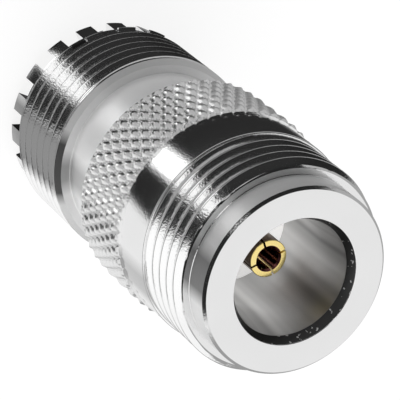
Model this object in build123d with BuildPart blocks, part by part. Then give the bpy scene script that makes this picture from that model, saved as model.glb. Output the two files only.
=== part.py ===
from build123d import *
import math
import os

# Coaxial adapter that joins a type N plug to a UHF plug.
# It is turned from brass in two shells that press together under the knurled grip.
# Each end holds a white insulator, and the two centre contacts are pressed into each other.
# The adapter stands on the toothed rim of its UHF end, with the type N mouth up.
# The origin is at the middle of that rim, and the common axis is +Z. All sizes are in millimetres.

# Lengths along the axis, from the toothed rim up to the type N face
crown_height = 1.7
uhf_thread_length = 7.8
neck_length = 5.1
grip_length = 6.3
collar_length = 3.6
n_thread_length = 5.05
nose_length = 2.15

# Outside diameters. Both threads are 5/8-24 UNEF, at most 15.845 over the crests in class 2A.
thread_diameter = 15.84
crown_diameter = 15.0
neck_diameter = 13.6
grip_core_diameter = 16.2
collar_diameter = 16.16
nose_diameter = 14.0

# Edges that the turning tool breaks
face_edge = 0.2
thread_lead = 0.45
uhf_thread_end = 0.4
collar_edge = 0.12

# Toothed rim of the UHF end
crown_teeth = 18
crown_tooth_share = 0.5
crown_notch_depth = 1.55
first_tooth_angle = -102.5

# Diamond knurl on the grip
knurl_count = 52
knurl_row_pitch = 0.9
knurl_height = 0.33
knurl_end_height = 0.18
first_diamond_angle = -90.0

# Mouth of the type N end
n_mouth_diameter = 9.45
n_mouth_depth = 0.74
n_throat_diameter = 8.7
n_throat_taper_length = 3.2
n_bore_diameter = 8.1
n_reference_depth = 9.1

# Cavity of the UHF end
uhf_cavity_diameter = 12.2
uhf_cavity_edge = 0.3
uhf_insulator_recess = 5.2

# Where the two shells press together
spigot_length = 4.1
spigot_diameter = 12.4
spigot_edge = 0.3

# Insulators
n_flange_diameter = 10.4
n_flange_thickness = 1.4
insulator_head_thickness = 4.0
insulator_tail_diameter = 9.0
finger_room_diameter = 6.4
finger_room_depth = 4.6

# Type N contact, a socket with four spring fingers
n_contact_diameter = 2.8
n_contact_bore = 1.65
n_contact_bore_depth = 6.0
n_contact_recess = 3.9
n_contact_tip_edge = 0.06
n_contact_bore_edge = 0.14
n_finger_length = 4.4
n_finger_gap = 0.16
n_finger_count = 4
n_finger_angle = 63.0
contact_collar_diameter = 4.4
contact_collar_thickness = 0.8
tail_diameter = 1.6
tail_length = 2.0

# UHF contact, a wider socket with four spring fingers
uhf_contact_diameter = 5.4
uhf_contact_bore = 4.05
uhf_contact_bore_depth = 11.5
uhf_contact_reach = 0.3
uhf_contact_edge = 0.2
uhf_finger_length = 4.4
uhf_finger_gap = 0.6
uhf_finger_count = 4
uhf_finger_angle = 45.0

# Radial room in each press fit, and how far a cut runs past what it cuts
press_room = 0.01
cut_margin = 0.5

# Heights of the shoulders above the toothed rim
crown_top = crown_height
uhf_thread_top = crown_top + uhf_thread_length
neck_top = uhf_thread_top + neck_length
grip_top = neck_top + grip_length
collar_top = grip_top + collar_length
n_thread_top = collar_top + n_thread_length
n_face = n_thread_top + nose_length
reference_plane = n_face - n_reference_depth
joint_plane = neck_top + spigot_length
n_flange_top = joint_plane + n_flange_thickness
n_throat_bottom = n_face - n_mouth_depth
n_bore_top = n_throat_bottom - n_throat_taper_length
insulator_face = uhf_insulator_recess
insulator_head_top = insulator_face + insulator_head_thickness
n_contact_tip = n_face - n_contact_recess
uhf_contact_tip = insulator_face - uhf_contact_reach
uhf_contact_bore_top = uhf_contact_tip + uhf_contact_bore_depth

thread_radius = thread_diameter / 2
crown_radius = crown_diameter / 2
neck_radius = neck_diameter / 2
collar_radius = collar_diameter / 2
nose_radius = nose_diameter / 2
core_radius = grip_core_diameter / 2
spigot_radius = spigot_diameter / 2
cavity_radius = uhf_cavity_diameter / 2
insulator_tail_radius = insulator_tail_diameter / 2
grip_wall_radius = (spigot_radius + core_radius) / 2
knurl_bore_radius = (spigot_radius + grip_wall_radius) / 2
n_bore_radius = n_bore_diameter / 2
n_flange_radius = n_flange_diameter / 2
n_contact_radius = n_contact_diameter / 2
contact_collar_radius = contact_collar_diameter / 2
uhf_contact_radius = uhf_contact_diameter / 2
tail_radius = tail_diameter / 2

os.makedirs("parts", exist_ok=True)


# Knurl of the grip: pointed diamonds side by side, each row half a step on from the one below.
# Points and pits take turns on a net that is wrapped round the grip, and four sloping facets lead
# from each point down to the pits beside, above and below it. The grip's ends cut the outer rows
# in half, and the roll leaves their points lower.
knurl_steps = round(grip_length / knurl_row_pitch)
net_columns = 2 * knurl_count
net_rows = range(knurl_steps + 1)


def net_place(column, row):
    """A point of the knurl where column and row add up to an even number, and a pit elsewhere."""
    point_height = knurl_end_height if row in (net_rows[0], net_rows[-1]) else knurl_height
    rise = point_height if (column + row) % 2 == 0 else 0
    place = Vector(core_radius + rise, 0, neck_top + row * grip_length / knurl_steps)
    return place.rotate(Axis.Z, first_diamond_angle + column * 180 / knurl_count)


def net_face(*places):
    return Face(Wire.make_polygon([net_place(*place) for place in places]))


net_faces = []
for row in (net_rows[0], net_rows[-1]):
    net_faces.append(net_face(*[(column, row) for column in range(net_columns)]))
for row in net_rows:
    for column in range(row % 2, net_columns, 2):
        for beside in (column - 1, column + 1):
            for next_row in (row - 1, row + 1):
                if next_row in net_rows:
                    net_faces.append(net_face((column, row), (beside, row), (column, next_row)))

with BuildPart() as knurl:
    add(Solid(Shell(net_faces)))
    with BuildSketch(Plane.XY.offset(neck_top)):
        Circle(knurl_bore_radius)
    extrude(amount=grip_length, mode=Mode.SUBTRACT)


# Type N shell: nose, thread, smooth collar and knurled grip, turned as one piece
with BuildPart() as n_shell:
    with BuildSketch(Plane.XZ):
        with BuildLine():
            Polyline(
                (spigot_radius, neck_top),
                (grip_wall_radius, neck_top),
                (grip_wall_radius, grip_top),
                (collar_radius, grip_top),
                (collar_radius, collar_top - collar_edge),
                (collar_radius - collar_edge, collar_top),
                (thread_radius, collar_top),
                (thread_radius, n_thread_top - thread_lead),
                (thread_radius - thread_lead, n_thread_top),
                (nose_radius, n_thread_top),
                (nose_radius, n_face),
                (n_mouth_diameter / 2, n_face),
                (n_throat_diameter / 2, n_throat_bottom),
                (n_bore_radius, n_bore_top),
                (n_bore_radius, n_flange_top),
                (n_flange_radius, n_flange_top),
                (n_flange_radius, joint_plane),
                (spigot_radius, joint_plane),
                close=True,
            )
        make_face()
    revolve(axis=Axis.Z)
    nose_edge = n_shell.edges().filter_by(GeomType.CIRCLE).group_by(Axis.Z)[-1].sort_by(SortBy.RADIUS)[-1]
    chamfer(nose_edge, length=face_edge)
    add(knurl.part)
n_shell.part.label = "n_shell"
export_step(n_shell.part, "parts/n_shell.step")


# UHF shell: toothed rim, thread, neck and the spigot that presses into the type N shell
with BuildPart() as uhf_shell:
    with BuildSketch(Plane.XZ):
        with BuildLine():
            Polyline(
                (cavity_radius + uhf_cavity_edge, 0),
                (crown_radius, 0),
                (crown_radius, crown_top),
                (thread_radius - thread_lead, crown_top),
                (thread_radius, crown_top + thread_lead),
                (thread_radius, uhf_thread_top - uhf_thread_end),
                (thread_radius - uhf_thread_end, uhf_thread_top),
                (neck_radius, uhf_thread_top),
                (neck_radius, neck_top),
                (spigot_radius - press_room, neck_top),
                (spigot_radius - press_room, joint_plane - spigot_edge),
                (spigot_radius - press_room - spigot_edge, joint_plane),
                (insulator_tail_radius, joint_plane),
                (insulator_tail_radius, insulator_head_top),
                (cavity_radius, insulator_head_top),
                (cavity_radius, uhf_cavity_edge),
                close=True,
            )
        make_face()
    revolve(axis=Axis.Z)
    notch_angle = 360 / crown_teeth * (1 - crown_tooth_share)
    notch_width = 2 * crown_radius * math.sin(math.radians(notch_angle / 2))
    notch_start = first_tooth_angle + 180 / crown_teeth
    with BuildSketch(Plane.XY):
        with PolarLocations(crown_radius, crown_teeth, start_angle=notch_start):
            Rectangle(2 * (crown_radius - cavity_radius + cut_margin), notch_width)
    extrude(amount=crown_notch_depth, mode=Mode.SUBTRACT)
uhf_shell.part.label = "uhf_shell"
export_step(uhf_shell.part, "parts/uhf_shell.step")


# Type N insulator: a white disc in the bore, with a flange trapped between the two shells
with BuildPart() as n_insulator:
    with BuildSketch(Plane.XZ):
        with BuildLine():
            Polyline(
                (n_contact_radius + press_room, reference_plane),
                (n_bore_radius - press_room, reference_plane),
                (n_bore_radius - press_room, n_flange_top),
                (n_flange_radius - press_room, n_flange_top),
                (n_flange_radius - press_room, joint_plane),
                (contact_collar_radius + press_room, joint_plane),
                (contact_collar_radius + press_room, joint_plane + contact_collar_thickness),
                (n_contact_radius + press_room, joint_plane + contact_collar_thickness),
                close=True,
            )
        make_face()
    revolve(axis=Axis.Z)
n_insulator.part.label = "n_insulator"
export_step(n_insulator.part, "parts/n_insulator.step")


# UHF insulator: a wide head in the cavity and a long tail through the neck
with BuildPart() as uhf_insulator:
    with BuildSketch(Plane.XZ):
        with BuildLine():
            Polyline(
                (finger_room_diameter / 2, insulator_face),
                (cavity_radius - press_room, insulator_face),
                (cavity_radius - press_room, insulator_head_top),
                (insulator_tail_radius - press_room, insulator_head_top),
                (insulator_tail_radius - press_room, joint_plane),
                (uhf_contact_radius + press_room, joint_plane),
                (uhf_contact_radius + press_room, insulator_face + finger_room_depth),
                (finger_room_diameter / 2, insulator_face + finger_room_depth),
                close=True,
            )
        make_face()
    revolve(axis=Axis.Z)
uhf_insulator.part.label = "uhf_insulator"
export_step(uhf_insulator.part, "parts/uhf_insulator.step")


# Type N contact: a gold socket with spring fingers, a collar and a pin that enters the UHF contact
with BuildPart() as n_contact:
    with BuildSketch(Plane.XZ):
        with BuildLine():
            Polyline(
                (0, joint_plane - tail_length),
                (tail_radius, joint_plane - tail_length),
                (tail_radius, joint_plane),
                (contact_collar_radius, joint_plane),
                (contact_collar_radius, joint_plane + contact_collar_thickness),
                (n_contact_radius, joint_plane + contact_collar_thickness),
                (n_contact_radius, n_contact_tip - n_contact_tip_edge),
                (n_contact_radius - n_contact_tip_edge, n_contact_tip),
                (n_contact_bore / 2 + n_contact_bore_edge, n_contact_tip),
                (n_contact_bore / 2, n_contact_tip - n_contact_bore_edge),
                (n_contact_bore / 2, n_contact_tip - n_contact_bore_depth),
                (0, n_contact_tip - n_contact_bore_depth),
                close=True,
            )
        make_face()
    revolve(axis=Axis.Z)
    with BuildSketch(Plane.XY.offset(n_contact_tip)):
        with PolarLocations(n_contact_radius / 2, n_finger_count, start_angle=n_finger_angle):
            Rectangle(n_contact_radius + cut_margin, n_finger_gap)
    extrude(amount=-n_finger_length, mode=Mode.SUBTRACT)
n_contact.part.label = "n_contact"
export_step(n_contact.part, "parts/n_contact.step")


# UHF contact: a wide socket with spring fingers, bored at its top end for the pin of the other
with BuildPart() as uhf_contact:
    with BuildSketch(Plane.XZ):
        with BuildLine():
            Polyline(
                (uhf_contact_bore / 2 + uhf_contact_edge, uhf_contact_tip),
                (uhf_contact_radius - uhf_contact_edge, uhf_contact_tip),
                (uhf_contact_radius, uhf_contact_tip + uhf_contact_edge),
                (uhf_contact_radius, joint_plane),
                (tail_radius + press_room, joint_plane),
                (tail_radius + press_room, uhf_contact_bore_top),
                (uhf_contact_bore / 2, uhf_contact_bore_top),
                (uhf_contact_bore / 2, uhf_contact_tip + uhf_contact_edge),
                close=True,
            )
        make_face()
    revolve(axis=Axis.Z)
    with BuildSketch(Plane.XY.offset(uhf_contact_tip)):
        with PolarLocations(uhf_contact_radius / 2, uhf_finger_count, start_angle=uhf_finger_angle):
            Rectangle(uhf_contact_radius + cut_margin, uhf_finger_gap)
    extrude(amount=uhf_finger_length, mode=Mode.SUBTRACT)
uhf_contact.part.label = "uhf_contact"
export_step(uhf_contact.part, "parts/uhf_contact.step")
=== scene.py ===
import math

import bmesh
import bpy
from mathutils import Matrix, Vector


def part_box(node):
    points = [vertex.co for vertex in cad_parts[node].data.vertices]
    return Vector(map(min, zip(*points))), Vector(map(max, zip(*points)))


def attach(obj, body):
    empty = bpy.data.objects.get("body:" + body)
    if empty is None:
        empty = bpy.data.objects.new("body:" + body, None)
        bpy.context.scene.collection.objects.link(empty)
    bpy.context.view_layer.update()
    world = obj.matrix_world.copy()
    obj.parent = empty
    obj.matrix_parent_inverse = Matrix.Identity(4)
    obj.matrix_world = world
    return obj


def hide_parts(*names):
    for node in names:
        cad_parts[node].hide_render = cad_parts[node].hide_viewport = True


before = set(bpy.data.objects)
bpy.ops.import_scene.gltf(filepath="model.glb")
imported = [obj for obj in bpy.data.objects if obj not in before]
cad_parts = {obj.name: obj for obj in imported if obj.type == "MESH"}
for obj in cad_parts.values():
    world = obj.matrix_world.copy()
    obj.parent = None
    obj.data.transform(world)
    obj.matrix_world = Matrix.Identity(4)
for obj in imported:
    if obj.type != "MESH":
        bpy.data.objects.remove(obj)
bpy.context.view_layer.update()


# UHF shell: the lower half of the adapter, turned from brass and plated with bright nickel.
# From the floor up it has a toothed rim, a 5/8-24 thread, a plain neck and a spigot. The spigot
# is pressed into the knurled grip of the type N shell.

MM = 0.001


class Wire:
    """An output of a node tree. Arithmetic on it adds Math nodes, and add() brings any other node."""

    def __init__(self, tree, socket=None):
        self.tree = tree
        self.socket = socket

    def add(self, kind, settings=None, inputs=None, output=0):
        node = self.tree.nodes.new(kind)
        for name, value in (settings or {}).items():
            if name == "stops":
                ramp = node.color_ramp.elements
                while len(ramp) < len(value):
                    ramp.new(1.0)
                for stop, (place, shade) in zip(ramp, value):
                    stop.position = place
                    stop.color = (shade, shade, shade, 1.0)
            else:
                setattr(node, name, value)
        for name, value in (inputs or {}).items():
            if isinstance(value, Wire):
                self.tree.links.new(value.socket, node.inputs[name])
            else:
                node.inputs[name].default_value = value
        return Wire(self.tree, node.outputs[output] if len(node.outputs) else None)

    def out(self, name):
        return Wire(self.tree, self.socket.node.outputs[name])

    def math(self, operation, *terms):
        return self.add("ShaderNodeMath", {"operation": operation}, dict(enumerate(terms)))

    def __add__(self, other):
        return self.math("ADD", self, other)

    def __sub__(self, other):
        return self.math("SUBTRACT", self, other)

    def __rsub__(self, other):
        return self.math("SUBTRACT", other, self)

    def __mul__(self, other):
        return self.math("MULTIPLY", self, other)

    def __truediv__(self, other):
        return self.math("DIVIDE", self, other)

    def __rtruediv__(self, other):
        return self.math("DIVIDE", other, self)

    def __abs__(self):
        return self.math("ABSOLUTE", self)

    def __lt__(self, other):
        return self.math("LESS_THAN", self, other)

    def __gt__(self, other):
        return self.math("GREATER_THAN", self, other)

    def floor(self):
        return self.math("FLOOR", self)

    def least(self, other):
        return self.math("MINIMUM", self, other)

    def most(self, other):
        return self.math("MAXIMUM", self, other)

    def choose(self, chosen, otherwise):
        """chosen where this is 1, and otherwise where it is 0."""
        return self * (chosen - otherwise) + otherwise

    __radd__ = __add__
    __rmul__ = __mul__


def turning_tree(name, sizes):
    """A geometry tree with named inputs, and the sheet that a profile sweeps once round the axis.

    The profile is a closed loop of points whose x is the radius and whose z is the height.
    """
    tree = bpy.data.node_groups.new(name, "GeometryNodeTree")
    tree.interface.new_socket("Profile", in_out="INPUT", socket_type="NodeSocketGeometry")
    tree.interface.new_socket("Material", in_out="INPUT", socket_type="NodeSocketMaterial")
    for size in sizes:
        tree.interface.new_socket(size, in_out="INPUT", socket_type="NodeSocketFloat")
    tree.interface.new_socket("Piece", in_out="OUTPUT", socket_type="NodeSocketGeometry")
    start = Wire(tree).add("NodeGroupInput")
    rows = start.add("GeometryNodeAttributeDomainSize", None, {"Geometry": start.out("Profile")})
    grid = start.add("GeometryNodeMeshGrid", None,
                     {"Vertices X": start.out("Columns") + 1, "Vertices Y": rows + 1})
    index = start.add("GeometryNodeInputIndex")
    column = (index / (rows + 1)).floor()
    row = start.math("MODULO", index - column * (rows + 1), rows)
    place = start.add("GeometryNodeInputPosition")
    sampled = start.add("GeometryNodeSampleIndex", {"data_type": "FLOAT_VECTOR"},
                        {"Geometry": start.out("Profile"), "Value": place, "Index": row})
    split = start.add("ShaderNodeSeparateXYZ", None, {0: sampled})
    return start, grid, column, row, split.out("X"), split.out("Z")


def flagged(start, row, flag):
    """1 on the rows that the profile flags, and 0 elsewhere."""
    flags = start.add("GeometryNodeInputNamedAttribute", {"data_type": "FLOAT"}, {"Name": flag})
    return start.add("GeometryNodeSampleIndex", {"data_type": "FLOAT"},
                     {"Geometry": start.out("Profile"), "Value": flags, "Index": row})


def even_angle(start, column):
    return column / start.out("Columns") * math.tau + start.out("First angle")


def slotted_angle(start, column, radius, tooth_columns):
    """The angle of each column where the columns crowd to both walls of evenly spaced slots.

    A slot has parallel walls, so its share of the turn grows towards the axis, up to 60 degrees.
    """
    nearest_axis = 0.1 * MM
    share = start.out("Columns") / start.out("Slots")
    turn = (column / share).floor()
    within = column - turn * share
    half_turn = math.pi / start.out("Slots")
    widest_sine = 0.5
    sine = start.out("Slot width") / 2 / radius.most(nearest_axis)
    half_slot = start.math("ARCSINE", sine.least(widest_sine))
    half_tooth = half_turn - half_slot
    in_slot = within > tooth_columns - 0.5
    on_tooth = half_tooth * (within / (tooth_columns - 1) * 2 - 1)
    across_slot = half_tooth + half_slot * 2 * (within - tooth_columns) / (share - tooth_columns - 1)
    angle = in_slot.choose(across_slot, on_tooth) + turn * half_turn * 2 + start.out("First angle")
    return angle, in_slot


def cut_thread(start, row, angle, radius, height):
    """A right-hand 60 degree thread on the rows that the profile flags as screw.

    Those rows climb one pitch in a turn and stop at the thread's ends. Both ends are bevelled, and
    the groove also grows shallow over the run-out lengths.
    """
    screw = flagged(start, row, "screw")
    bottom, top, pitch = start.out("Thread bottom"), start.out("Thread top"), start.out("Pitch")
    turns = (angle - start.out("First angle")) / math.tau
    climbed = (height + pitch * turns).most(bottom).least(top)
    phase = (climbed - start.out("Crest height")) / pitch - turns
    from_crest = abs(phase - start.math("ROUND", phase)) * pitch
    slope = math.sqrt(3)
    half_crest = pitch / 16
    crest_round = start.out("Thread edge")
    root_round = crest_round * 2.5
    flank = (from_crest - half_crest) * slope
    open_crest = start.math("SMOOTH_MAX", flank, 0.0, crest_round)
    depth = start.math("SMOOTH_MIN", open_crest, start.out("Thread depth"), root_round)
    fade_low = ((climbed - bottom) / start.out("Run-out bottom")).least(1.0)
    fade_high = ((top - climbed) / start.out("Run-out top")).least(1.0)
    threaded = radius - depth * fade_low * fade_high
    bevel_low = radius - start.out("Bevel bottom") + climbed - bottom
    bevel_high = radius - start.out("Bevel top") + top - climbed
    threaded = threaded.least(bevel_low).least(bevel_high)
    return screw.choose(threaded, radius), screw.choose(climbed, height)


def roll_up(start, grid, angle, radius, height):
    """Rolls the sheet round the axis, closes its seams and ends the tree."""
    seam_gap = 0.001 * MM
    place = start.add("ShaderNodeCombineXYZ", None, {
        "X": radius * start.math("COSINE", angle),
        "Y": radius * start.math("SINE", angle),
        "Z": height,
    })
    rolled = start.add("GeometryNodeSetPosition", None, {"Geometry": grid, "Position": place})
    closed = start.add("GeometryNodeMergeByDistance", None, {"Geometry": rolled, "Distance": seam_gap})
    real = start.add("GeometryNodeRealizeInstances", None, {"Geometry": closed})
    coloured = start.add("GeometryNodeSetMaterial", None,
                         {"Geometry": real, "Material": start.out("Material")})
    start.add("NodeGroupOutput", None, {"Piece": coloured})
    return start.tree


def rounded(corners, steps=4):
    """Points of a path in millimetres. A corner's third number is the radius that rounds it."""
    points = []
    for i, corner in enumerate(corners):
        here = Vector(corner[:2])
        if len(corner) < 3:
            points.append(here)
            continue
        back = (Vector(corners[i - 1][:2]) - here).normalized()
        ahead = (Vector(corners[(i + 1) % len(corners)][:2]) - here).normalized()
        half = back.angle(ahead) / 2
        centre = here + (back + ahead).normalized() * corner[2] / math.sin(half)
        first = here + back * corner[2] / math.tan(half) - centre
        last = here + ahead * corner[2] / math.tan(half) - centre
        for step in range(steps + 1):
            points.append(centre + first.slerp(last, step / steps) * corner[2])
    return points


def thread_rows(radius, bottom, top, crest, pitch):
    """Rows for cut_thread, close together at the edges of the crest and in the round of the root."""
    shares = (0, 0.04, 0.0625, 0.085, 0.13, 0.24, 0.34, 0.375, 0.42, 0.5)
    shares += tuple(1 - share for share in reversed(shares[1:-1]))
    turn = math.floor((bottom - pitch - crest) / pitch)
    rows = []
    while crest + turn * pitch < top + pitch:
        rows += [Vector((radius, crest + (turn + share) * pitch)) for share in shares]
        turn += 1
    return rows


def turned(name, tree, sections, sizes, material, flags=()):
    """The plain mesh object that a tree makes of a profile. A section is a flag and its points.

    Edges sharper than the turn of a rounded corner from one facet to the next stay crisp.
    """
    crisp = math.radians(25)
    shortest_edge = 0.0001 * MM
    points = [(flag, point) for flag, section in sections for point in section]
    mesh = bpy.data.meshes.new(name)
    count = len(points)
    mesh.from_pydata([(p.x * MM, 0, p.y * MM) for flag, p in points],
                     [(i, (i + 1) % count) for i in range(count)], [])
    for flag_name in flags:
        flag_data = mesh.attributes.new(flag_name, "FLOAT", "POINT")
        flag_data.data.foreach_set("value", [float(flag == flag_name) for flag, p in points])
    piece = bpy.data.objects.new(name, mesh)
    bpy.context.scene.collection.objects.link(piece)
    modifier = piece.modifiers.new("Turning", "NODES")
    modifier.node_group = tree
    sizes = dict(sizes, Material=material)
    for item in tree.interface.items_tree:
        if item.in_out == "INPUT" and item.name in sizes:
            modifier[item.identifier] = sizes[item.name]
    evaluated = piece.evaluated_get(bpy.context.evaluated_depsgraph_get())
    finished = bpy.data.meshes.new_from_object(evaluated)
    piece.modifiers.remove(modifier)
    piece.data = finished
    shell = bmesh.new()
    shell.from_mesh(finished)
    bmesh.ops.dissolve_degenerate(shell, dist=shortest_edge, edges=shell.edges)
    bmesh.ops.recalc_face_normals(shell, faces=shell.faces)
    shell.to_mesh(finished)
    shell.free()
    for polygon in finished.polygons:
        polygon.use_smooth = True
    finished.set_sharp_from_angle(angle=crisp)
    return piece


def fresh_material(name):
    """An empty node material, its shader and a wire to build from."""
    material = bpy.data.materials.new(name)
    material.use_nodes = True
    material.node_tree.nodes.clear()
    return material, Wire(material.node_tree)


def nickel_material():
    """Bright nickel over turned brass: near mirror, with fine rings left by the lathe tool.

    The grip, the neck and the nose are satin. The mouth has painted shade at its rim, broken by painted
    glints, and painted shade below it, lighter along painted reflection streaks. Painted shade darkens
    one side of the UHF rim and thread, the neck, the nose and the collar, and the neck is painted
    lighter, most on one side.
    All of it goes by the place on the part.
    """
    material, start = fresh_material("bright_nickel")
    place = start.add("ShaderNodeTexCoord", output="Object")
    split = start.add("ShaderNodeSeparateXYZ", None, {0: place})
    x, y, z = split.out("X"), split.out("Y"), split.out("Z")
    from_axis = start.math("SQRT", x * x + y * y)
    across = start.add("ShaderNodeCombineXYZ", None, {"X": from_axis, "Z": z})
    turn = start.math("ARCTAN2", y, x)

    def between(low, high):
        """1 from one height to another in millimetres, and 0 outside."""
        return (z > low * MM) * (z < high * MM)

    def side(middle, half):
        """1 on the side at the angle middle, fading to 0 at half on both hands, in radians."""
        return ((half - abs(turn - middle)) * 6.0).least(1.0).most(0.0)

    rings = start.add("ShaderNodeTexNoise", None, {"Vector": across, "Scale": 9000.0, "Detail": 2.0})
    peel = start.add("ShaderNodeTexNoise", None, {"Vector": place, "Scale": 6500.0, "Detail": 2.0})
    cloud = start.add("ShaderNodeTexNoise", None, {"Vector": place, "Scale": 260.0, "Detail": 2.0})
    fleck = start.add("ShaderNodeTexNoise", None, {"Vector": place, "Scale": 2600.0, "Detail": 2.0})
    reflection_streaks = start.add("ShaderNodeTexNoise", {"noise_dimensions": "1D"}, {
        "W": turn, "Scale": 2.2, "Detail": 1.5,
    })
    relief = start.add("ShaderNodeBump", None, {
        "Strength": 0.7, "Distance": 0.01 * MM, "Height": rings * 0.1 + peel,
    })

    margin = 0.02
    neck = between(uhf_thread_end + margin, neck_top + margin / 2)
    # The band of the neck just above the UHF thread, which is given painted shade.
    painted_shoulder_shade = neck * (z < (uhf_thread_top + margin) * MM)
    grip = between(neck_top + margin / 2, grip_top - margin)
    collar = between(grip_top - margin, collar_top + margin / 2)
    nose = between(n_face - satin_nose_length, n_face - face_edge) * (from_axis > satin_nose_radius * MM)
    inside = (from_axis < (mouth_radius - margin) * MM) * (z > (n_face - wall_depth) * MM)
    # Painted shade: the mouth's rim is darkened, except for flecks left bright as painted glints.
    rim = inside * (from_axis > (throat_radius + margin / 2) * MM)
    painted_rim_glints = rim * (fleck > 0.66)

    # Painted shade on the mouth wall below the rim, lighter along painted reflection streaks.
    painted_wall_shade = inside * (1.0 - rim) * (0.1 + start.math("SMOOTH_MAX", 0.0, 1.1 - reflection_streaks * 1.6, 0.1))
    # Painted shade on one side of the UHF rim and thread, the neck, the nose and the collar.
    painted_side_shade = side(-0.85, 0.4) * (z < (uhf_thread_top - margin) * MM) * 0.82
    painted_side_shade = painted_side_shade + side(-0.8, 0.25) * neck * 0.4
    painted_side_shade = painted_side_shade + side(-1.0, 0.32) * nose * 0.85
    painted_side_shade = painted_side_shade + side(-0.5, 0.25) * collar * 0.45
    # Random cloudy tone, and painted light: the neck is painted lighter, most on one side.
    tint = start.add("ShaderNodeMix", {"data_type": "RGBA"}, {
        0: cloud * 0.28 + neck * (side(-1.35, 0.5) * 0.6 + 0.4),
        6: (0.8, 0.8, 0.8, 1.0), 7: (1.0, 1.0, 1.0, 1.0),
    }, output=2)
    # Painted shade towards dark grey on the mouth's rim and wall, the band above the UHF thread and one
    # side of the adapter.
    tint = start.add("ShaderNodeMix", {"data_type": "RGBA"}, {
        0: rim - painted_rim_glints + painted_wall_shade + painted_shoulder_shade * 0.25 + painted_side_shade, 6: tint, 7: (0.09, 0.09, 0.09, 1.0),
    }, output=2)

    mirror_rough = 0.07 + rings * 0.05 + cloud * 0.04
    rough = inside.choose(0.36, mirror_rough)
    rough = neck.most(nose).choose(0.42, rough)
    rough = grip.choose(0.24, rough)
    satin = neck * 0.5 + nose * 0.3 + side(-2.8, 0.65) * grip * 0.42
    shader = start.add("ShaderNodeBsdfPrincipled", None, {
        "Base Color": tint, "Metallic": 1.0 - satin, "Roughness": rough, "Normal": relief,
    })
    start.add("ShaderNodeOutputMaterial", None, {"Surface": shader})
    return material


thread_radius = 7.92
thread_pitch = 25.4 / 24
thread_depth = 0.6
thread_edge = 0.05

crown_radius = 7.5
crown_top = 1.7
crown_edge = 0.12
notch_depth = 1.55
notch_width = 1.307
crown_teeth = 18
crown_tooth_columns = 10
first_tooth = -102.5
uhf_thread_top = 9.5
uhf_bevel_bottom = 0.45
uhf_bevel_top = 0.4
uhf_thread_end = uhf_thread_top - uhf_bevel_top
uhf_crest = 2.45
uhf_run_out_bottom = 0.2
uhf_run_out_top = 0.9
neck_radius = 6.8
neck_corner = 0.15
spigot_radius = 6.19
spigot_edge = 0.3
cavity_radius = 6.1
cavity_edge_height = 0.3
cavity_edge_width = 0.25
cavity_top = 9.2
tail_bore_radius = 4.5
uhf_columns = 360

joint_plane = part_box("uhf_shell")[1].z / MM
grip_low, grip_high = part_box("n_shell")
neck_top = grip_low.z / MM
n_face = grip_high.z / MM
grip_top = 20.9
collar_top = 24.5
satin_nose_length = 2.1
satin_nose_radius = 6.9
face_edge = 0.2
mouth_radius = 4.725
throat_radius = 4.35
wall_depth = 12.0

start, grid, column, row, radius, height = turning_tree("Threaded shell with a toothed rim", (
    "Columns", "First angle", "Slots", "Slot width", "Slot end", "Thread bottom", "Thread top",
    "Pitch", "Crest height", "Thread depth", "Thread edge", "Run-out bottom", "Run-out top",
    "Bevel bottom", "Bevel top",
))
# Between two teeth the rim starts only at the end of the slot.
angle, in_slot = slotted_angle(start, column, radius, crown_tooth_columns)
height = in_slot.choose(height.most(start.out("Slot end")), height)
radius, height = cut_thread(start, row, angle, radius, height)
uhf_tree = roll_up(start, grid, angle, radius, height)

# A crest is uhf_crest high at -90 degrees, and the tree counts from its first column.
half_notch = math.degrees(math.asin(notch_width / 2 / thread_radius))
first_column = first_tooth - 180 / crown_teeth + half_notch
uhf_crest_start = uhf_crest + thread_pitch * (first_column + 90) / 360
uhf_profile = (
    ("", rounded([
        (cavity_radius, notch_depth),
        (cavity_radius, cavity_edge_height),
        (cavity_radius + cavity_edge_width, 0.0, crown_edge),
        (crown_radius, 0.0, crown_edge),
        (crown_radius, notch_depth),
        (crown_radius, crown_top),
    ])),
    ("screw", thread_rows(thread_radius, crown_top, uhf_thread_end, uhf_crest_start, thread_pitch)),
    ("", rounded([
        (thread_radius, uhf_thread_end),
        (thread_radius - uhf_bevel_top, uhf_thread_top),
        (neck_radius, uhf_thread_top, neck_corner),
        (neck_radius, neck_top),
        (spigot_radius, neck_top),
        (spigot_radius, joint_plane - spigot_edge),
        (spigot_radius - spigot_edge, joint_plane),
        (tail_bore_radius, joint_plane),
        (tail_bore_radius, cavity_top),
        (cavity_radius, cavity_top),
    ])),
)
nickel = nickel_material()
uhf_shell = turned("uhf_shell_plated", uhf_tree, uhf_profile, {
    "Columns": float(uhf_columns), "First angle": math.radians(first_tooth),
    "Slots": float(crown_teeth), "Slot width": notch_width * MM, "Slot end": notch_depth * MM,
    "Thread bottom": crown_top * MM, "Thread top": uhf_thread_end * MM, "Pitch": thread_pitch * MM,
    "Crest height": uhf_crest_start * MM, "Thread depth": thread_depth * MM,
    "Thread edge": thread_edge * MM, "Run-out bottom": uhf_run_out_bottom * MM,
    "Run-out top": uhf_run_out_top * MM, "Bevel bottom": uhf_bevel_bottom * MM, "Bevel top": 0.0,
}, nickel, ("screw",))
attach(uhf_shell, "root")
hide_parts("uhf_shell")


# Insulators: two discs turned from white plastic, one in the cavity of each end.
# Each is trapped by a step of the shells.

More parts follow.
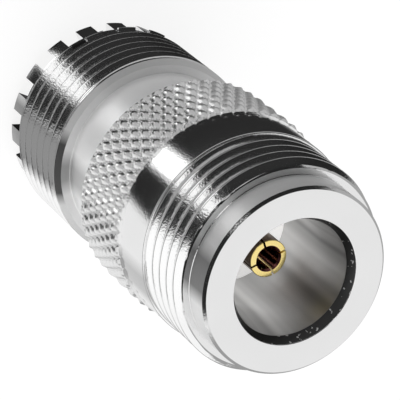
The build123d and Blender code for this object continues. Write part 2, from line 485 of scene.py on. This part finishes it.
def plastic_material():
    """White turned plastic, smooth and slightly waxy, with faint rings from the lathe tool, and a glow
    that is painted light.
    """
    material, start = fresh_material("white_turned_plastic")
    place = start.add("ShaderNodeTexCoord", output="Object")
    split = start.add("ShaderNodeSeparateXYZ", None, {0: place})
    x, y = split.out("X"), split.out("Y")
    from_axis = start.math("SQRT", x * x + y * y)
    rings = start.add("ShaderNodeTexNoise", {"noise_dimensions": "1D"}, {
        "W": from_axis, "Scale": 7000.0, "Detail": 1.0,
    })
    cloud = start.add("ShaderNodeTexNoise", None, {"Vector": place, "Scale": 500.0, "Detail": 2.0})
    tint = start.add("ShaderNodeMix", {"data_type": "RGBA"}, {
        0: cloud, 6: (0.90, 0.89, 0.87, 1.0), 7: (0.95, 0.94, 0.93, 1.0),
    }, output=2)
    relief = start.add("ShaderNodeBump", None, {"Strength": 0.15, "Distance": 0.02 * MM, "Height": rings})
    # The emission is painted light: the plastic glows so that it stays white in its recess.
    shader = start.add("ShaderNodeBsdfPrincipled", None, {
        "Base Color": tint, "Roughness": 0.38 + rings * 0.12, "Normal": relief,
        "Emission Color": tint, "Emission Strength": 0.55,
    })
    start.add("ShaderNodeOutputMaterial", None, {"Surface": shader})
    return material


plastic = plastic_material()
for node in ("n_insulator", "uhf_insulator"):
    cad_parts[node].data.materials.clear()
    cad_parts[node].data.materials.append(plastic)


# Centre contacts: two sockets turned from brass, slotted into spring fingers and plated with gold.
# The pin of the type N contact is pressed into the back of the wider UHF contact.

def gold_material():
    """Gold plating: a warm bright metal, a little darker and rougher in patches.

    The sides of the type N contact and its bore have painted shade in dark brown, with a few painted
    glints in the bore.
    """
    material, start = fresh_material("gold_plating")
    place = start.add("ShaderNodeTexCoord", output="Object")
    cloud = start.add("ShaderNodeTexNoise", None, {"Vector": place, "Scale": 900.0, "Detail": 3.0})
    fine = start.add("ShaderNodeTexNoise", None, {"Vector": place, "Scale": 6000.0, "Detail": 2.0})
    split = start.add("ShaderNodeSeparateXYZ", None, {0: place})
    x, y, z = split.out("X"), split.out("Y"), split.out("Z")
    from_axis = start.math("SQRT", x * x + y * y)
    shade_length = 6.1
    unshaded_tip = 0.06
    bore_margin = 0.025
    # Painted shade: the side of the type N contact below its tip, and its bore, are darkened to brown,
    # with painted glints left bright in the bore.
    high = z > (contact_tip - shade_length) * MM
    outer = from_axis > (contact_radius - contact_tip_edge) * MM
    side = high * outer * (z < (contact_tip - unshaded_tip) * MM)
    bore = high * (from_axis < (contact_bore + bore_edge + bore_margin) * MM)
    painted_bore_glints = bore * (cloud > 0.66)
    tint = start.add("ShaderNodeMix", {"data_type": "RGBA"}, {
        0: cloud, 6: (0.95, 0.72, 0.25, 1.0), 7: (1.0, 0.86, 0.38, 1.0),
    }, output=2)
    tint = start.add("ShaderNodeMix", {"data_type": "RGBA"}, {
        0: side, 6: tint, 7: (0.17, 0.125, 0.09, 1.0),
    }, output=2)
    tint = start.add("ShaderNodeMix", {"data_type": "RGBA"}, {
        0: bore - painted_bore_glints, 6: tint, 7: (0.2, 0.075, 0.07, 1.0),
    }, output=2)
    relief = start.add("ShaderNodeBump", None, {"Strength": 0.12, "Distance": 0.02 * MM, "Height": fine})
    shader = start.add("ShaderNodeBsdfPrincipled", None, {
        "Base Color": tint, "Metallic": 1.0, "Roughness": 0.16 + cloud * 0.1, "Normal": relief,
    })
    start.add("ShaderNodeOutputMaterial", None, {"Surface": shader})
    return material


start, grid, column, row, radius, height = turning_tree("Slotted socket", (
    "Columns", "First angle", "Slots", "Slot width", "Slot end", "Slot way",
))
finger_count = 4
finger_columns = 18
gap_columns = 6
socket_columns = (finger_columns + gap_columns) * finger_count
half_finger_turn = 180 / finger_count
finger_length = 4.4

# The slots are sawn from the tip to their end. Slot way is 1 where the tip is up, or else -1.
angle, in_slot = slotted_angle(start, column, radius, finger_columns)
way = start.out("Slot way")
slot_end = start.out("Slot end")
sawn = (height * way).least(slot_end * way) * way
height = in_slot.choose(sawn, height)
socket_tree = roll_up(start, grid, angle, radius, height)

contact_low, contact_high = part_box("n_contact")
contact_tip = contact_high.z / MM
contact_slot_end = contact_tip - finger_length
contact_radius = 1.4
contact_tip_edge = 0.05
contact_bore = 0.825
bore_depth = 6.0
bore_edge = 0.14
contact_collar_radius = 2.2
contact_collar_length = 0.8
contact_collar_top = joint_plane + contact_collar_length
tail_radius = 0.8
tail_end = contact_low.z / MM
finger_gap = 0.16
finger_angle = 63.0
gold = gold_material()
n_contact = turned("n_contact_gilt", socket_tree, (
    ("", rounded([
        (0.0, tail_end),
        (tail_radius, tail_end),
        (tail_radius, joint_plane),
        (contact_collar_radius, joint_plane),
        (contact_collar_radius, contact_collar_top),
        (contact_radius, contact_collar_top),
        (contact_radius, contact_slot_end),
        (contact_radius, contact_tip, contact_tip_edge),
        (contact_bore + bore_edge, contact_tip),
        (contact_bore, contact_tip - bore_edge),
        (contact_bore, contact_slot_end),
        (contact_bore, contact_tip - bore_depth),
        (0.0, contact_tip - bore_depth),
    ])),
), {
    "Columns": float(socket_columns), "First angle": math.radians(finger_angle + half_finger_turn),
    "Slots": float(finger_count), "Slot width": finger_gap * MM, "Slot end": contact_slot_end * MM,
    "Slot way": 1.0,
}, gold)
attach(n_contact, "root")
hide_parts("n_contact")

uhf_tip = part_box("uhf_contact")[0].z / MM
uhf_slot_end = uhf_tip + finger_length
uhf_contact_radius = 2.7
uhf_tip_edge = 0.2
uhf_bore = 2.025
uhf_bore_depth = 11.5
uhf_bore_end = uhf_tip + uhf_bore_depth
uhf_finger_gap = 0.6
uhf_finger_angle = 45.0
pressed_hole_radius = 0.81
uhf_contact = turned("uhf_contact_gilt", socket_tree, (
    ("", rounded([
        (uhf_bore, uhf_bore_end),
        (uhf_bore, uhf_slot_end),
        (uhf_bore, uhf_tip, uhf_tip_edge),
        (uhf_contact_radius, uhf_tip, uhf_tip_edge),
        (uhf_contact_radius, uhf_slot_end),
        (uhf_contact_radius, joint_plane),
        (pressed_hole_radius, joint_plane),
        (pressed_hole_radius, uhf_bore_end),
    ])),
), {
    "Columns": float(socket_columns), "First angle": math.radians(uhf_finger_angle + half_finger_turn),
    "Slots": float(finger_count), "Slot width": uhf_finger_gap * MM, "Slot end": uhf_slot_end * MM,
    "Slot way": -1.0,
}, gold)
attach(uhf_contact, "root")
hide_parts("uhf_contact")


# Type N shell: the upper half, turned from brass and plated with bright nickel as the lower one.
# A diamond knurl is rolled into its grip, and a smooth collar, a 5/8-24 thread and a short nose
# lead up to the mouth, which narrows to the bore that holds the insulator.

def roll_knurl(start, row, angle, radius, height):
    """Diamonds on the rows that the profile flags as knurl, between two crossing sets of grooves."""
    knurled = flagged(start, row, "knurl")
    diamonds_round = (angle - start.out("First angle")) / math.tau * start.out("Diamonds")
    diamonds_up = (height - start.out("First diamond")) / start.out("Diamond rows") / 2
    groove_pitch = start.out("Groove pitch")
    nearest = None
    for crossing in (diamonds_round + diamonds_up, diamonds_round - diamonds_up):
        from_ridge = abs(crossing - start.math("ROUND", crossing))
        to_groove = (0.5 - from_ridge) * groove_pitch * start.out("Groove slope")
        nearest = to_groove if nearest is None else start.math("SMOOTH_MIN", nearest, to_groove,
                                                               start.out("Diamond edge"))
    rise = start.math("SMOOTH_MIN", nearest, start.out("Diamond height"), start.out("Diamond edge"))
    rise = rise + start.out("Groove floor")
    for from_end in (height - start.out("Knurl bottom"), start.out("Knurl top") - height):
        rise = rise.least(from_end + start.out("End height"))
    return knurled.choose(radius + rise.most(0.0), radius)


def fold_along_grooves(piece, low, high):
    """Splits each four-sided face of the knurl from low to high along its more level diagonal.

    The grooves run along those diagonals, so they come out straight instead of stepped.
    """
    crisp = math.radians(35)
    shell = bmesh.new()
    shell.from_mesh(piece.data)
    for face in list(shell.faces):
        if len(face.verts) != 4 or not low < face.calc_center_median().z / MM < high:
            continue
        corners = list(face.verts)
        radii = [math.hypot(corner.co.x, corner.co.y) for corner in corners]
        even = (round(abs(radii[0] - radii[2]), 7), radii[0] + radii[2])
        odd = (round(abs(radii[1] - radii[3]), 7), radii[1] + radii[3])
        first = 0 if even < odd else 1
        bmesh.utils.face_split(face, corners[first], corners[first + 2])
    shell.to_mesh(piece.data)
    shell.free()
    piece.data.set_sharp_from_angle(angle=crisp)


collar_radius = 8.08
collar_edge = 0.1
core_radius = 8.09
press_gap = 0.01
n_thread_top = 29.55
n_bevel_top = 0.45
n_crest = 24.5
n_run_out = 0.2
nose_radius = 7.0
nose_corner = 0.1
mouth_depth = 0.74
mouth_edge = 0.06
throat_edge = 0.1
bore_top = 27.76
bore_radius = 4.05
flange_depth = 1.4
flange_top = joint_plane + flange_depth
flange_radius = 5.2

diamonds = 52
diamond_rows = 0.9
first_diamond_row = neck_top
diamond_height = 0.3
diamond_edge = 0.38
groove_slope = 1.05
groove_floor = 0.06
end_height = 0.12
columns_per_diamond = 8
rows_per_half_diamond = 4
n_columns = diamonds * columns_per_diamond

start, grid, column, row, radius, height = turning_tree("Knurled and threaded shell", (
    "Columns", "First angle", "Thread bottom", "Thread top", "Pitch", "Crest height",
    "Thread depth", "Thread edge", "Run-out bottom", "Run-out top", "Bevel bottom", "Bevel top",
    "Diamonds", "First diamond", "Diamond rows", "Groove pitch", "Groove slope", "Diamond height",
    "Diamond edge", "Groove floor", "Knurl bottom", "Knurl top", "End height",
))
angle = even_angle(start, column)
radius = roll_knurl(start, row, angle, radius, height)
radius, height = cut_thread(start, row, angle, radius, height)
n_tree = roll_up(start, grid, angle, radius, height)

diamond_width = math.tau * core_radius / diamonds
groove_pitch = diamond_width * diamond_rows * 2 / math.hypot(diamond_width, diamond_rows * 2)
row_step = diamond_rows / rows_per_half_diamond
grip_steps = round((grip_top - first_diamond_row) / row_step)
grip_rows = [
    Vector((core_radius, first_diamond_row + step * row_step)) for step in range(grip_steps + 1)
]

n_profile = (
    ("", [Vector((spigot_radius + press_gap, neck_top))]),
    ("knurl", grip_rows),
    ("", rounded([
        (collar_radius, grip_top),
        (collar_radius, collar_top, collar_edge),
        (thread_radius, collar_top),
    ])),
    ("screw", thread_rows(thread_radius, collar_top, n_thread_top, n_crest, thread_pitch)),
    ("", rounded([
        (nose_radius, n_thread_top, nose_corner),
        (nose_radius, n_face - face_edge),
        (nose_radius - face_edge, n_face),
        (mouth_radius, n_face, mouth_edge),
        (throat_radius, n_face - mouth_depth, throat_edge),
        (bore_radius, bore_top),
        (bore_radius, flange_top),
        (flange_radius, flange_top),
        (flange_radius, joint_plane),
        (spigot_radius + press_gap, joint_plane),
    ])),
)
n_shell = turned("n_shell_plated", n_tree, n_profile, {
    "Columns": float(n_columns), "First angle": -math.pi / 2,
    "Thread bottom": collar_top * MM, "Thread top": n_thread_top * MM, "Pitch": thread_pitch * MM,
    "Crest height": n_crest * MM, "Thread depth": thread_depth * MM, "Thread edge": thread_edge * MM,
    "Run-out bottom": n_run_out * MM, "Run-out top": n_run_out * MM, "Bevel bottom": 0.0,
    "Bevel top": n_bevel_top * MM, "Diamonds": float(diamonds),
    "First diamond": first_diamond_row * MM, "Diamond rows": diamond_rows * MM,
    "Groove pitch": groove_pitch * MM, "Groove slope": groove_slope,
    "Diamond height": diamond_height * MM, "Diamond edge": diamond_edge * MM,
    "Groove floor": groove_floor * MM, "End height": end_height * MM,
    "Knurl bottom": neck_top * MM, "Knurl top": grip_top * MM,
}, nickel, ("screw", "knurl"))
fold_along_grooves(n_shell, neck_top, grip_top)
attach(n_shell, "root")
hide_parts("n_shell")


# Stage: a pale floor, 6 m across, that keeps the adapter's shadow and runs out to white. The metal
# doesn't reflect it, because the studio below already shows the light that a floor would give.

def floor_material():
    """A matt white floor, seen a little lighter than the lamps make it."""
    material, start = fresh_material("white_floor")
    paper = start.add("ShaderNodeBsdfDiffuse", None, {"Color": (0.9, 0.9, 0.9, 1.0)})
    glow = start.add("ShaderNodeEmission", None, {"Color": (1.0, 1.0, 1.0, 1.0), "Strength": 1.05})
    path = start.add("ShaderNodeLightPath", output="Is Camera Ray")
    mixed = start.add("ShaderNodeMixShader", None, {0: path * 0.8, 1: paper, 2: glow})
    start.add("ShaderNodeOutputMaterial", None, {"Surface": mixed})
    return material


floor_half = 3.0
floor_mesh = bpy.data.meshes.new("floor")
floor_corners = [(x * floor_half, y * floor_half, 0.0) for x, y in ((-1, -1), (1, -1), (1, 1), (-1, 1))]
floor_mesh.from_pydata(floor_corners, [], [(0, 1, 2, 3)])
floor_mesh.materials.append(floor_material())
floor = bpy.data.objects.new("floor", floor_mesh)
floor.visible_glossy = False
bpy.context.scene.collection.objects.link(floor)


# Light: a white studio with dark sides, which the bright metal shows as bands along the adapter,
# and one soft lamp, 0.25 m across, that casts the shadow.

world = bpy.data.worlds.new("studio")
bpy.context.scene.world = world
world.use_nodes = True
world.node_tree.nodes.clear()
sky = Wire(world.node_tree)
toward = sky.add("ShaderNodeTexCoord", output="Generated")
parts = sky.add("ShaderNodeSeparateXYZ", None, {0: toward})
heading = sky.math("ARCTAN2", parts.out("Y"), parts.out("X")) / math.tau + 0.5


def around(degrees):
    """The place on a ramp of the direction at an angle round the axis."""
    return degrees / 360 + 0.5


# The studio is stacked from five bands, each with its own light all the way round. From straight
# down to straight up they are nadir, below, horizon, ring and above.
dark = 0.022
unlit = 0.016
below_level = 1.5
above_level = 1.5
ring_level = 1.4
horizon_level = 1.15
strip_start = 1.3
strip_boost = 0.5

below = sky.add("ShaderNodeValToRGB", {"stops": (
    (around(-180), dark), (around(-113), dark), (around(-106), 1.0), (around(-87), 1.0),
    (around(-80), dark), (around(-48), dark), (around(-40), 0.8), (around(20), 0.8),
    (around(60), 0.75), (around(98), 0.6), (around(120), 0.1), (around(130), dark),
)}, {0: heading}) * below_level
strip = below > strip_start
below = below + strip * strip_boost
above = sky.add("ShaderNodeValToRGB", {"stops": (
    (around(-180), dark), (around(-112), dark), (around(-106), 1.0), (around(-88), 1.0),
    (around(-82), dark), (around(-46), dark), (around(-38), 1.0), (around(50), 1.0),
    (around(70), 0.8), (around(128), 0.76), (around(142), 0.1), (around(150), dark),
)}, {0: heading}) * above_level
ring = sky.add("ShaderNodeValToRGB", {"stops": (
    (around(-180), unlit), (around(-5), unlit), (around(8), 1.0), (around(120), 1.0),
    (around(138), unlit),
)}, {0: heading}) * ring_level
horizon = sky.add("ShaderNodeValToRGB", {"stops": (
    (around(-180), 0.55), (around(-75), 0.6), (around(-45), 0.9), (around(-30), 1.0),
    (around(2), 1.0), (around(22), 0.42), (around(100), 0.42), (around(180), 0.55),
)}, {0: heading}) * horizon_level
nadir = sky.add("ShaderNodeMapRange", None, {
    "Value": parts.out("X") - parts.out("Y") * 0.25,
    "From Min": -0.04, "From Max": 0.06, "To Min": 0.01, "To Max": 0.85,
})


def step_up(low, high):
    """0 on rays that climb less than low, and 1 on those that climb more than high."""
    return sky.add("ShaderNodeMapRange", None, {
        "Value": parts.out("Z"), "From Min": low, "From Max": high,
    })


below = step_up(-0.95, -0.92).choose(below, nadir)
seen = step_up(-0.66, -0.58).choose(horizon, below)
seen = step_up(0.2, 0.28).choose(ring, seen)
seen = step_up(0.6, 0.66).choose(above, seen)
path = sky.add("ShaderNodeLightPath")
glossy = path.out("Is Glossy Ray")
white_ground = 1.0
ambient = 0.75
level = glossy.choose(seen, path.out("Is Camera Ray").choose(white_ground, ambient))
background = sky.add("ShaderNodeBackground", None, {"Strength": level})
sky.add("ShaderNodeOutputWorld", None, {"Surface": background})

lamp_data = bpy.data.lights.new("soft_lamp", "AREA")
lamp_data.shape = "DISK"
lamp_data.size = 0.25
lamp_data.energy = 0.6
lamp = bpy.data.objects.new("soft_lamp", lamp_data)
lamp_aim = Vector((0.0, 0.0, 0.016))
lamp.location = (0.12, 0.05, 0.3)
lamp.rotation_euler = (lamp_aim - lamp.location).to_track_quat("-Z", "Y").to_euler()
lamp.visible_glossy = False
bpy.context.scene.collection.objects.link(lamp)


# Camera: a long lens that looks down on the type N mouth, rolled as in the photograph. Its place
# comes from a fit to the circles that the photograph shows.

camera_place = Vector((0.0, -107.936, 163.916)) * MM
camera_aim = Vector((0.027, 0.0, 17.297)) * MM
camera_roll = 130.81
camera_data = bpy.data.cameras.new("camera")
camera_data.lens = 226.73
camera_data.sensor_width = 36.0
camera_data.clip_start = 0.01
camera = bpy.data.objects.new("camera", camera_data)
look = (camera_aim - camera_place).to_track_quat("-Z", "Y").to_matrix().to_4x4()
camera.matrix_world = (Matrix.Translation(camera_place) @ look
                       @ Matrix.Rotation(math.radians(camera_roll), 4, "Z"))
bpy.context.scene.collection.objects.link(camera)
bpy.context.scene.camera = camera
bpy.context.scene.view_settings.view_transform = "Standard"
